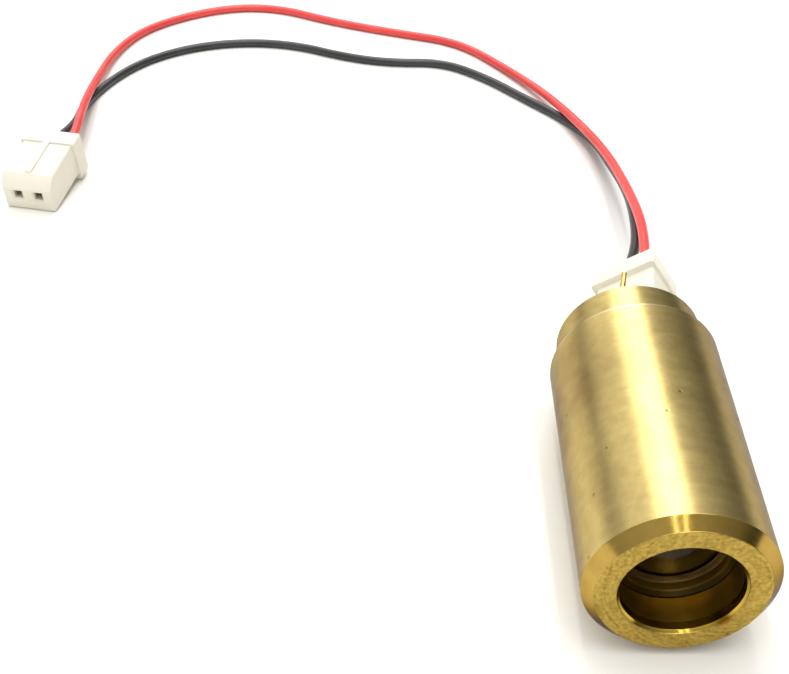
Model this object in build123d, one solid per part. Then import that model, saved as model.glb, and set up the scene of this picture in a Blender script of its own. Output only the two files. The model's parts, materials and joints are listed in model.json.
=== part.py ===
from build123d import *
from math import cos, radians, sin, sqrt, tan
import os

# Laser diode module in millimetres: a turned brass barrel with a collimating lens in its mouth and a diode
# can in its rear, a two-way plug pushed onto two of the diode's pins, and two leads to a second plug.
# The optical axis is Y and the beam leaves towards -Y. +Z is up. The origin is on the optical axis, at the
# middle of the plain length that a clamp grips. The module lies on a table that touches the barrel.

# Barrel
BARREL_D = 12.0
CLAMP_L = 19.5
NOSE_CHAMFER = 0.75
EDGE_BREAK = 0.25
SPIGOT_D = 10.5
SPIGOT_L = 3.0
MOUTH_D = 7.5
MOUTH_L = 2.65
COUNTERSINK = 0.2
GROOVE_DEPTH = 0.2
GROOVE_L = 0.95
LENS_BORE_D = 7.3
BEAM_BORE_D = 6.2
CAP_BORE_D = 4.4
CAP_BORE_L = 3.0
POCKET_L = 2.0
POCKET_BREAK = 0.2

# Radial clearance of a seated piece, and the gap of a loose one
SLIP = 0.02
LOOSE = 0.05

# Lens and the split ring that keeps it, sprung into a groove behind the mouth
RING_WALL = 0.48
RING_BEVEL = 0.35
RING_LAND = 0.2
RING_SPLIT_ANGLE = 18.0
LENS_RIM_T = 1.6
LENS_FRONT_R = 8.0

# Diode can
STEM_D = 5.6
STEM_T = 1.2
STEM_NOTCH_R = 0.3
INDEX_W = 0.4
PIN_D = 0.45
PIN_CIRCLE_D = 2.0
PIN_INSIDE = 1.1
PIN_STRAIGHT = 0.35
PIN_BEND_R = 0.8
PIN_IN_PLUG = 2.6
PIN_APPROACH = 0.3
SEAL_D = 0.9
CAP_D = 3.55
CAP_L = 2.3
CAP_WALL = 0.2
CAP_RIM_D = 4.1
CAP_RIM_T = 0.25
APERTURE_D = 1.6
WINDOW_GLASS_T = 0.25
HEATSINK_W = 1.2
HEATSINK_T = 0.9
HEATSINK_L = 1.6
SUBMOUNT_W = 0.6
SUBMOUNT_T = 0.25
SUBMOUNT_L = 0.8
CHIP_W = 0.3
CHIP_T = 0.1
CHIP_L = 0.5

# Bare monitor pin, bent up and aside past the plug
MONITOR_L = 6.2
MONITOR_YAW = 12.0
MONITOR_RISE = 20.0

# Leads
LEAD_D = 0.85
LEAD_OUT = 3.0
LEAD_ROUNDING = 0.45

# Two-way plug, measured from the mating face along the way's axis
WAY_PITCH = 2.0
PLUG_L = 7.4
SIDE_MARGIN = 1.45
BODY_T = 3.5
BODY_DROP = 0.15
GRIP_L = 1.8
GRIP_STEP = 0.25
GRIP_T = 4.2
CORNER_R = 0.25
FACE_BREAK = 0.15
FRONT_WALL = 0.6
HOLE_W = 0.8
HOLE_FLARE = 0.2
CAVITY_W = 1.4
WINDOW_W = 0.9
WINDOW_L = 1.7
WINDOW_START = 1.6
NOSE_SLOPE = 1.05
RIB_W = 0.6
RIB_START = 1.15

# Crimp contact
SHEET = 0.15
BOX_L = 2.55
STRIP_W = 0.8
CRIMP_START = 3.7
CRIMP_L = 1.25
CRIMP_W = 0.9
CRIMP_H = 0.8
CRIMP_ROUND = 0.25
WINGS_START = 5.4
WINGS_L = 1.2
WINGS_SLOT = 0.25
LANCE_W = 0.5
LANCE_ROOT = 0.7
LANCE_RISE = 0.3

# Where the plugs sit: the rear one behind the diode stem, the end one with its windows down and its nose on
# the table, its tail held up by the leads
REAR_GAP = 1.9
REAR_YAW = 8.6
REAR_ROLL = 35.0
END_X = -51.27
END_Y = 39.25
END_YAW = 12.0
END_PITCH = 8.0

# Lead routes between the plugs, as x, y and height over the table
LYING = 0.45
RED_ROUTE = [
    (3.8, 31.7, 5.0),
    (3.6, 40.6, 3.3),
    (2.7, 49.6, 1.7),
    (0.5, 58.1, 0.6),
    (-4.2, 65.7, LYING),
    (-10.2, 74.0, LYING),
    (-17.8, 76.2, LYING),
    (-25.6, 79.6, LYING),
    (-33.7, 83.8, LYING),
    (-42.7, 80.8, LYING),
    (-48.7, 74.1, LYING),
    (-49.9, 65.3, 1.0),
    (-49.3, 56.0, 2.7),
]
BLACK_ROUTE = [
    (3.4, 31.2, 3.9),
    (3.5, 39.8, 2.1),
    (2.6, 48.2, 0.8),
    (0.2, 55.8, LYING),
    (-5.4, 62.8, LYING),
    (-11.7, 69.0, LYING),
    (-20.0, 68.5, LYING),
    (-27.6, 72.6, LYING),
    (-35.4, 73.9, LYING),
    (-43.6, 70.9, LYING),
    (-49.2, 63.5, LYING),
    (-50.0, 55.8, 1.1),
]

# Stations along the optical axis
TABLE = -BARREL_D / 2
FRONT = -CLAMP_L / 2 - NOSE_CHAMFER
SHOULDER = CLAMP_L / 2 + EDGE_BREAK
REAR = SHOULDER + SPIGOT_L
GROOVE_FRONT = FRONT + MOUTH_L
RING_FRONT = GROOVE_FRONT + LOOSE
LENS_FRONT = GROOVE_FRONT + GROOVE_L
LENS_SEAT = LENS_FRONT + LENS_RIM_T
DIODE_SEAT = REAR - POCKET_L
CONE_END = DIODE_SEAT - CAP_BORE_L
CONE_START = CONE_END - (BEAM_BORE_D - CAP_BORE_D) / 2

# Sizes that follow from others
GROOVE_R = MOUTH_D / 2 + GROOVE_DEPTH
RING_R = GROOVE_R - SLIP
DOME_R = RING_R - RING_WALL
LENS_R = LENS_BORE_D / 2 - SLIP
POCKET_R = STEM_D / 2 + SLIP
PIN_CIRCLE_R = PIN_CIRCLE_D / 2
BODY_W = WAY_PITCH + 2 * SIDE_MARGIN
GRIP_W = BODY_W + 2 * GRIP_STEP
BODY_TOP = BODY_T / 2 - BODY_DROP
BODY_BOTTOM = -BODY_T / 2 - BODY_DROP
BOX_START = FRONT_WALL + LOOSE
BOX_W = LEAD_D + 2 * (SLIP + SHEET)
LEAD_START = CRIMP_START + CRIMP_L
RED_WAY = -WAY_PITCH / 2
BLACK_WAY = WAY_PITCH / 2
STAND = (Align.CENTER, Align.CENTER, Align.MIN)
HANG = (Align.CENTER, Align.CENTER, Align.MAX)


def block(width, thickness, length, x=0.0, y=0.0, z=0.0):
    """Box standing on z, centred on x and y."""
    return Pos(x, y, z) * Box(width, thickness, length, align=STAND)


def turned(*points, arc=360.0):
    """Body turned about the optical axis from points of radius and station."""
    return revolve(make_face(Polyline(*points, close=True)), Axis.Y, arc)


def point(frame, x, y, z):
    """Point given in a frame, in the module's own frame."""
    return (frame * Pos(x, y, z)).position


def rod(points, diameter, radii):
    """Round wire along straight runs joined by tangent arcs, with its centre line."""
    path = FilletPolyline(*points, radius=radii)
    section = Plane(origin=points[0], z_dir=points[1] - points[0]) * Circle(diameter / 2)
    return sweep(section, path), path


def barrel():
    """One turned piece with mouth, ring groove, lens bore, beam bore, cap bore and diode pocket in line."""
    outside_r = BARREL_D / 2
    spigot_r = SPIGOT_D / 2
    mouth_r = MOUTH_D / 2
    return turned(
        (mouth_r + COUNTERSINK, FRONT),
        (outside_r - NOSE_CHAMFER, FRONT),
        (outside_r, FRONT + NOSE_CHAMFER),
        (outside_r, SHOULDER - EDGE_BREAK),
        (outside_r - EDGE_BREAK, SHOULDER),
        (spigot_r, SHOULDER),
        (spigot_r, REAR - EDGE_BREAK),
        (spigot_r - EDGE_BREAK, REAR),
        (POCKET_R + POCKET_BREAK, REAR),
        (POCKET_R, REAR - POCKET_BREAK),
        (POCKET_R, DIODE_SEAT),
        (CAP_BORE_D / 2, DIODE_SEAT),
        (CAP_BORE_D / 2, CONE_END),
        (BEAM_BORE_D / 2, CONE_START),
        (BEAM_BORE_D / 2, LENS_SEAT),
        (LENS_BORE_D / 2, LENS_SEAT),
        (LENS_BORE_D / 2, LENS_FRONT),
        (GROOVE_R, LENS_FRONT),
        (GROOVE_R, GROOVE_FRONT),
        (mouth_r, GROOVE_FRONT),
        (mouth_r, FRONT + COUNTERSINK),
    )


def retaining_ring():
    """Bevelled ring, split at the top, that keeps the lens on its seat."""
    ring = turned(
        (RING_R - RING_LAND, RING_FRONT),
        (RING_R, RING_FRONT),
        (RING_R, LENS_FRONT),
        (DOME_R, LENS_FRONT),
        (DOME_R, RING_FRONT + RING_BEVEL),
        arc=360 - RING_SPLIT_ANGLE,
    )
    return ring.rotate(Axis.Y, RING_SPLIT_ANGLE / 2 - 90)


def collimating_lens():
    """Plano-convex lens with a flat rim under the ring."""
    sag = LENS_FRONT_R - sqrt(LENS_FRONT_R**2 - DOME_R**2)
    vertex = (0, LENS_FRONT - sag)
    dome = RadiusArc(vertex, (DOME_R, LENS_FRONT), -LENS_FRONT_R)
    rest = Polyline((DOME_R, LENS_FRONT), (LENS_R, LENS_FRONT), (LENS_R, LENS_SEAT), (0, LENS_SEAT), vertex)
    return revolve(make_face([dome, rest]), Axis.Y)


def diode_stem():
    """Flange with its rim notches, two sealed pin holes and the heat sink inside the cap."""
    flange = Cylinder(STEM_D / 2, STEM_T, align=STAND)
    for x in (-PIN_CIRCLE_R, PIN_CIRCLE_R):
        flange -= Pos(x, 0, 0) * Cylinder(SEAL_D / 2, STEM_T, align=STAND)
    for x in (-STEM_D / 2, STEM_D / 2):
        flange -= Pos(x, 0, 0) * Cylinder(STEM_NOTCH_R, STEM_T, align=STAND)
    flange -= block(INDEX_W, 2 * INDEX_W, STEM_T, y=STEM_D / 2)
    heat_sink_y = -(SUBMOUNT_T + CHIP_T / 2 + HEATSINK_T / 2)
    return flange + Pos(0, heat_sink_y, 0) * Box(HEATSINK_W, HEATSINK_T, HEATSINK_L, align=HANG)


def laser_chip():
    """Chip on its submount, on the face of the heat sink, emitting on the axis."""
    submount = block(SUBMOUNT_W, SUBMOUNT_T, SUBMOUNT_L, y=-(SUBMOUNT_T + CHIP_T) / 2, z=-HEATSINK_L)
    return submount + block(CHIP_W, CHIP_T, CHIP_L, z=-HEATSINK_L)


def diode_cap():
    """Drawn cap with a weld rim and a round aperture."""
    inside_r = CAP_D / 2 - CAP_WALL
    cap = Cylinder(CAP_D / 2, CAP_L, align=HANG) + Cylinder(CAP_RIM_D / 2, CAP_RIM_T, align=HANG)
    cap -= Cylinder(inside_r, CAP_L - CAP_WALL, align=HANG)
    return cap - Cylinder(APERTURE_D / 2, CAP_L, align=HANG)


def diode_window():
    """Glass disc behind the aperture."""
    return Pos(0, 0, CAP_WALL - CAP_L) * Cylinder(CAP_D / 2 - CAP_WALL - SLIP, WINDOW_GLASS_T, align=STAND)


def pin_seal(x):
    """Glass bead between a pin and the stem."""
    bead = Cylinder(SEAL_D / 2, STEM_T, align=STAND) - Cylinder(PIN_D / 2, STEM_T, align=STAND)
    return Pos(x, 0, 0) * bead


def plugged_pin(diode, x, y, start, plug, way):
    """Pin led from the stem into one way of the rear plug."""
    points = [
        point(diode, x, y, start),
        point(diode, x, y, STEM_T + PIN_STRAIGHT),
        point(plug, way, 0, -PIN_APPROACH),
        point(plug, way, 0, PIN_IN_PLUG),
    ]
    return rod(points, PIN_D, PIN_BEND_R)[0]


def monitor_pin(diode):
    """Pin left bare, bent up and aside."""
    root = point(diode, PIN_CIRCLE_R, 0, STEM_T + PIN_STRAIGHT)
    away = Vector(0, MONITOR_L, 0).rotate(Axis.X, MONITOR_RISE).rotate(Axis.Z, -MONITOR_YAW)
    return rod([point(diode, PIN_CIRCLE_R, 0, -PIN_INSIDE), root, root + away], PIN_D, PIN_BEND_R)[0]


def plug_housing():
    """Moulded body with a grip, two ways and two latch windows, and a sloped nose and a rib opposite."""
    body = block(BODY_W, BODY_T, PLUG_L - GRIP_L, y=-BODY_DROP)
    body = fillet(body.edges().filter_by(Axis.Z), CORNER_R)
    body = chamfer(body.faces().sort_by(Axis.Z)[0].edges(), FACE_BREAK)
    slope = Polyline(
        (BODY_BOTTOM + NOSE_SLOPE + 1, -1),
        (BODY_BOTTOM, NOSE_SLOPE),
        (BODY_BOTTOM - 1, NOSE_SLOPE),
        (BODY_BOTTOM - 1, -1),
        close=True,
    )
    body -= extrude(Plane.YZ * make_face(slope), BODY_W, both=True)
    grip = block(GRIP_W, GRIP_T, GRIP_L, z=PLUG_L - GRIP_L)
    grip = fillet(grip.edges().filter_by(Axis.Z), CORNER_R)
    grip = chamfer(grip.faces().sort_by(Axis.Z)[-1].edges(), FACE_BREAK)
    housing = body + grip
    rib_h = GRIP_T / 2 + BODY_BOTTOM
    housing += block(RIB_W, 2 * rib_h, PLUG_L - GRIP_L - RIB_START, y=BODY_BOTTOM, z=RIB_START)
    flare_w = HOLE_W + 2 * HOLE_FLARE
    for x in (RED_WAY, BLACK_WAY):
        housing -= block(CAVITY_W, CAVITY_W, PLUG_L, x=x, z=FRONT_WALL)
        housing -= block(HOLE_W, HOLE_W, FRONT_WALL, x=x)
        housing -= Pos(x, 0, 0) * extrude(Rectangle(flare_w, flare_w), HOLE_FLARE, taper=45)
        housing -= block(WINDOW_W, 2 * BODY_TOP, WINDOW_L, x=x, y=BODY_TOP, z=WINDOW_START)
    return housing


def crimp_contact():
    """Box receptacle with its latch, conductor crimp and insulation wings folded from one strip."""
    floor_y = (SHEET - BOX_W) / 2
    slot_h = PIN_D + 2 * SLIP
    contact = block(BOX_W, BOX_W, BOX_L, z=BOX_START)
    contact -= block(BOX_W - 2 * SHEET, slot_h, BOX_L, z=BOX_START)
    contact += block(STRIP_W, SHEET, WINGS_START + WINGS_L - BOX_START, y=floor_y, z=BOX_START)
    crimp = block(CRIMP_W, CRIMP_H, CRIMP_L, y=(CRIMP_H - BOX_W) / 2, z=CRIMP_START)
    top_edges = crimp.edges().filter_by(Axis.Z).group_by(Axis.Y)[-1]
    contact += fillet(top_edges, CRIMP_ROUND)
    wings = Cylinder(BOX_W / 2, WINGS_L, align=STAND) - Cylinder(BOX_W / 2 - SHEET, WINGS_L, align=STAND)
    wings -= block(WINGS_SLOT, BOX_W, WINGS_L, y=BOX_W / 2)
    contact += Pos(0, 0, WINGS_START) * wings
    lance_end = WINDOW_START + WINDOW_L - LOOSE
    lance = Polyline(
        (BOX_W / 2 - SHEET, lance_end - LANCE_ROOT),
        (BOX_W / 2 + LANCE_RISE, lance_end),
        (BOX_W / 2 + LANCE_RISE - SHEET, lance_end),
        (BOX_W / 2 - SHEET, lance_end - LANCE_ROOT / 2),
        close=True,
    )
    return contact + extrude(Plane.YZ * make_face(lance), LANCE_W / 2, both=True)


def lead(rear, end, way, route):
    """Insulated lead between the crimps of the two plugs, of which the end one lies the other way up."""
    points = [point(rear, way, 0, LEAD_START), point(rear, way, 0, PLUG_L + LEAD_OUT)]
    for x, y, height in route:
        points.append(Vector(x, y, TABLE + height))
    points.append(point(end, -way, 0, PLUG_L + LEAD_OUT))
    points.append(point(end, -way, 0, LEAD_START))
    radii = []
    for before, corner, after in zip(points, points[1:], points[2:]):
        run_in = corner - before
        run_out = after - corner
        half_turn = radians(run_in.get_angle(run_out)) / 2
        radii.append(LEAD_ROUNDING * min(run_in.length, run_out.length) / tan(half_turn))
    tube, path = rod(points, LEAD_D, radii)
    section = Circle(LEAD_D / 2).area
    share = tube.volume / (section * path.length)
    print(f"length {path.length:.1f}, volume over section x length {share:.4f}")
    print("radii", [round(radius, 1) for radius in radii])
    return tube


def plug_frame(origin, yaw, roll, pitch=0):
    """Frame of a plug: z along the ways to the leads, x from red way to black way, y to the windows."""
    along = Vector(0, 1, 0).rotate(Axis.X, pitch).rotate(Axis.Z, -yaw)
    across = Vector(-1, 0, 0).rotate(Axis.Y, -roll).rotate(Axis.Z, -yaw)
    return Plane(origin=origin, x_dir=across, z_dir=along).location


def main():
    # Diode frame: z to the rear, x to the monitor pin, turned so that the plug's ways line up with the two
    # pins it takes.
    to_monitor = Vector(-1, 0, 0).rotate(Axis.Y, 45 - REAR_ROLL)
    diode = Plane(origin=(0, DIODE_SEAT, 0), x_dir=to_monitor, z_dir=(0, 1, 0)).location
    behind_stem = point(diode, -PIN_CIRCLE_R / 2, -PIN_CIRCLE_R / 2, STEM_T)
    rear_origin = behind_stem + Vector(REAR_GAP * tan(radians(REAR_YAW)), REAR_GAP, 0)
    rear = plug_frame(rear_origin, REAR_YAW, REAR_ROLL)
    pitch = radians(END_PITCH)
    nose_z = TABLE + BODY_TOP * cos(pitch) - FACE_BREAK * sin(pitch)
    end = plug_frame((END_X, END_Y, nose_z), END_YAW, 180, END_PITCH)
    red = Pos(RED_WAY, 0, 0)
    black = Pos(BLACK_WAY, 0, 0)
    nodes = {
        "barrel": barrel(),
        "lens_retaining_ring": retaining_ring(),
        "collimating_lens": collimating_lens(),
        "diode_stem": diode * diode_stem(),
        "diode_cap": diode * diode_cap(),
        "diode_window": diode * diode_window(),
        "laser_chip": diode * laser_chip(),
        "diode_pin_drive": plugged_pin(diode, -PIN_CIRCLE_R, 0, -PIN_INSIDE, rear, RED_WAY),
        "diode_pin_case": plugged_pin(diode, 0, -PIN_CIRCLE_R, STEM_T, rear, BLACK_WAY),
        "diode_pin_monitor": monitor_pin(diode),
        "seal_drive": diode * pin_seal(-PIN_CIRCLE_R),
        "seal_monitor": diode * pin_seal(PIN_CIRCLE_R),
        "rear_plug_housing": rear * plug_housing(),
        "rear_contact_red": rear * red * crimp_contact(),
        "rear_contact_black": rear * black * crimp_contact(),
        "lead_red": lead(rear, end, RED_WAY, RED_ROUTE),
        "lead_black": lead(rear, end, BLACK_WAY, BLACK_ROUTE),
        "end_plug_housing": end * plug_housing(),
        "end_contact_red": end * black * crimp_contact(),
        "end_contact_black": end * red * crimp_contact(),
    }
    os.makedirs("parts", exist_ok=True)
    for name, solid in nodes.items():
        export_step(solid, f"parts/{name}.step")
        box = solid.bounding_box()
        print(name, round(solid.volume, 3), len(solid.solids()), box.min, box.max)


main()
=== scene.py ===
import json
import logging
from dataclasses import dataclass, field
from enum import Enum
from math import cos, pi, radians, sin, sqrt, tan

import bmesh
import bpy
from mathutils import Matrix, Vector

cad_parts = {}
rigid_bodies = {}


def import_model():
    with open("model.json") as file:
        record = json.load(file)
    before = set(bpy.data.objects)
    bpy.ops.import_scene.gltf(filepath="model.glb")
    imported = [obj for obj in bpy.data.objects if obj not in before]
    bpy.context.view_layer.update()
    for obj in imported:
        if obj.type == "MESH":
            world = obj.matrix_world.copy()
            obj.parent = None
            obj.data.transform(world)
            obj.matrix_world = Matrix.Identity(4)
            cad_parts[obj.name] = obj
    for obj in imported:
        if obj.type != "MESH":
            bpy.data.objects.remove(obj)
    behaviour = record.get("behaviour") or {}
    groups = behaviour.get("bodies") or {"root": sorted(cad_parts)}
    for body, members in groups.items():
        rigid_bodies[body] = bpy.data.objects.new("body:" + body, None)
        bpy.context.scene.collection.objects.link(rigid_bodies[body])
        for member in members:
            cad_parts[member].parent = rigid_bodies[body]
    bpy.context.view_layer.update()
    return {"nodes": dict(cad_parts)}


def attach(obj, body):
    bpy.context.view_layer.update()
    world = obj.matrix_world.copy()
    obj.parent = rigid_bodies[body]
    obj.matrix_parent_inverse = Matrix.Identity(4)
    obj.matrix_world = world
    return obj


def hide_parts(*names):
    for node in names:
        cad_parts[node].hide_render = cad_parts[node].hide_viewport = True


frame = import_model()

log = logging.getLogger("laser_module")

MM = 0.001
BODY = "root"
# Distance within which points are joined.
WELD = 0.0005 * MM
# Stretch of a noise's range in which most of its values lie.
NOISE_SPAN = (0.3, 0.7)
# Places of the colour sockets among a mix node's inputs and outputs.
MIX_FIRST, MIX_SECOND, MIX_RESULT = 6, 7, 2

Point2 = tuple[float, float]
Point3 = tuple[float, float, float]
Colour = tuple[float, float, float, float]
Socket = bpy.types.NodeSocket


class Metal(Enum):
    """Platings of the small metal pieces, as a light and a dark tone."""

    GOLD = ((0.86, 0.60, 0.22, 1.0), (0.66, 0.42, 0.13, 1.0))
    TIN = ((0.74, 0.73, 0.70, 1.0), (0.55, 0.54, 0.51, 1.0))
    NICKEL = ((0.68, 0.66, 0.62, 1.0), (0.50, 0.48, 0.45, 1.0))


class Way(Enum):
    """The two ways of a plug, by the colour of the lead in them."""

    RED = "red"
    BLACK = "black"


class ShaderSheet:
    """A material's node tree, laid out step by step round one principled surface."""

    def __init__(self, name: str) -> None:
        """Start an empty sheet with a surface and an output.

        Args:
            name: Name of the material.
        """
        self.material = bpy.data.materials.new(name)
        self.material.use_nodes = True
        self.tree = self.material.node_tree
        self.tree.nodes.clear()
        output = self.tree.nodes.new("ShaderNodeOutputMaterial")
        self.surface = self.tree.nodes.new("ShaderNodeBsdfPrincipled")
        self.tree.links.new(self.surface.outputs["BSDF"], output.inputs["Surface"])

    def feed(self, target: Socket, value: Socket | float | tuple) -> None:
        """Link a socket to an input, or set the input to a constant.

        Args:
            target: The input.
            value: The socket or the constant.
        """
        if isinstance(value, Socket):
            self.tree.links.new(value, target)
        else:
            target.default_value = value

    def place(self, scale: Point3 = (1.0, 1.0, 1.0)) -> Socket:
        """Object coordinates in metres, stretched along each axis.

        Args:
            scale: Factor along X, Y and Z.

        Returns:
            The vector output.
        """
        coords = self.tree.nodes.new("ShaderNodeTexCoord")
        mapping = self.tree.nodes.new("ShaderNodeMapping")
        mapping.inputs["Scale"].default_value = scale
        self.tree.links.new(coords.outputs["Object"], mapping.inputs["Vector"])
        return mapping.outputs["Vector"]

    def split(self, vector: Socket) -> tuple[Socket, Socket, Socket]:
        """Take a vector apart.

        Args:
            vector: The vector.

        Returns:
            Its X, Y and Z.
        """
        node = self.tree.nodes.new("ShaderNodeSeparateXYZ")
        self.feed(node.inputs[0], vector)
        return node.outputs[0], node.outputs[1], node.outputs[2]

    def join(self, x: Socket, y: Socket, z: Socket) -> Socket:
        """Put a vector together.

        Args:
            x: Its X.
            y: Its Y.
            z: Its Z.

        Returns:
            The vector.
        """
        node = self.tree.nodes.new("ShaderNodeCombineXYZ")
        for target, value in zip(node.inputs, (x, y, z)):
            self.feed(target, value)
        return node.outputs[0]

    def math(self, operation: str, first: Socket | float, second: Socket | float = 0.0) -> Socket:
        """Do one arithmetic step.

        Args:
            operation: Name of the step.
            first: First value.
            second: Second value, if the step needs one.

        Returns:
            The result.
        """
        node = self.tree.nodes.new("ShaderNodeMath")
        node.operation = operation
        self.feed(node.inputs[0], first)
        self.feed(node.inputs[1], second)
        return node.outputs[0]

    def plus(self, first: Socket, second: Socket) -> Socket:
        """Sum of two values."""
        return self.math("ADD", first, second)

    def minus(self, first: Socket | float, second: Socket | float) -> Socket:
        """Difference of two values."""
        return self.math("SUBTRACT", first, second)

    def times(self, first: Socket, second: Socket | float) -> Socket:
        """Product of two values."""
        return self.math("MULTIPLY", first, second)

    def distance(self, spot: Point3) -> Socket:
        """Measure how far each place is from a fixed spot.

        Args:
            spot: The spot in metres.

        Returns:
            The distance in metres.
        """
        node = self.tree.nodes.new("ShaderNodeVectorMath")
        node.operation = "DISTANCE"
        self.feed(node.inputs[0], self.place())
        node.inputs[1].default_value = spot
        return node.outputs["Value"]

    def noise(self, vector: Socket, scale: float, detail: float = 3.0, rough: float = 0.55) -> Socket:
        """Smooth noise from 0 to 1.

        Args:
            vector: Where to look the noise up.
            scale: Cells for each unit of the vector.
            detail: Number of finer layers.
            rough: Strength of the finer layers.

        Returns:
            The noise value.
        """
        node = self.tree.nodes.new("ShaderNodeTexNoise")
        self.feed(node.inputs["Vector"], vector)
        node.inputs["Scale"].default_value = scale
        node.inputs["Detail"].default_value = detail
        node.inputs["Roughness"].default_value = rough
        return node.outputs[0]

    def scatter(self, scale: float) -> tuple[Socket, Socket]:
        """Scatter points at random.

        Args:
            scale: Points for each metre.

        Returns:
            The distance to the nearest point as a share of the spacing, and that point's own random tone.
        """
        node = self.tree.nodes.new("ShaderNodeTexVoronoi")
        self.feed(node.inputs["Vector"], self.place())
        node.inputs["Scale"].default_value = scale
        tone = self.tree.nodes.new("ShaderNodeSeparateColor")
        self.tree.links.new(node.outputs["Color"], tone.inputs[0])
        return node.outputs["Distance"], tone.outputs[0]

    def remap(self, value: Socket, low: float, high: float, out_low: float, out_high: float) -> Socket:
        """Carry a range onto another one, clamped.

        Args:
            value: The value to carry.
            low: Start of its range.
            high: End of its range.
            out_low: Result at the start and before it.
            out_high: Result at the end and past it.

        Returns:
            The result.
        """
        node = self.tree.nodes.new("ShaderNodeMapRange")
        self.feed(node.inputs["Value"], value)
        names = ("From Min", "From Max", "To Min", "To Max")
        for name, number in zip(names, (low, high, out_low, out_high)):
            node.inputs[name].default_value = number
        return node.outputs["Result"]

    def rise(self, value: Socket, start: float, end: float) -> Socket:
        """0 up to the start, 1 from the end on, and straight between them."""
        return self.remap(value, start, end, 0.0, 1.0)

    def fall(self, value: Socket, start: float, end: float) -> Socket:
        """1 up to the start, 0 from the end on, and straight between them."""
        return self.remap(value, start, end, 1.0, 0.0)

    def blend(self, share: Socket, first: Socket | Colour, second: Socket | Colour) -> Socket:
        """Mix two colours.

        Args:
            share: Share of the second colour, from 0 to 1.
            first: First colour.
            second: Second colour.

        Returns:
            The mixed colour.
        """
        node = self.tree.nodes.new("ShaderNodeMix")
        node.data_type = "RGBA"
        self.feed(node.inputs[0], share)
        self.feed(node.inputs[MIX_FIRST], first)
        self.feed(node.inputs[MIX_SECOND], second)
        return node.outputs[MIX_RESULT]

    def bump(self, height: Socket, strength: float, depth: float, under: Socket | None = None) -> Socket:
        """A normal from a height.

        Args:
            height: Height from 0 to 1.
            strength: Share of the effect.
            depth: Height of 1 in metres.
            under: Normal of a bump below this one.

        Returns:
            The normal.
        """
        node = self.tree.nodes.new("ShaderNodeBump")
        node.inputs["Strength"].default_value = strength
        node.inputs["Distance"].default_value = depth
        self.feed(node.inputs["Height"], height)
        if under is not None:
            self.feed(node.inputs["Normal"], under)
        return node.outputs["Normal"]

    def round_axis(self) -> Socket:
        """Find the direction round the optical axis.

        Returns:
            The tangent.
        """
        node = self.tree.nodes.new("ShaderNodeTangent")
        node.direction_type = "RADIAL"
        node.axis = "Y"
        return node.outputs["Tangent"]

    def dress(self, **inputs: Socket | float | tuple) -> bpy.types.Material:
        """Feed the surface and hand the material over.

        Args:
            inputs: Values for the surface's inputs, named with underscores for spaces.

        Returns:
            The material.
        """
        for name, value in inputs.items():
            self.feed(self.surface.inputs[name.replace("_", " ")], value)
        return self.material


@dataclass(frozen=True)
class BrassMarks:
    """Places and patterns on a brass piece, from 0 to 1 but for the radius and the station in metres."""

    radius: Socket
    station: Socket
    on_nose: Socket
    on_face: Socket
    inside: Socket
    fine: Socket
    wide: Socket
    cloud: Socket
    mottle: Socket
    speckle: Socket
    swirl: Socket
    pit: Socket
    lip: Socket


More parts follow.
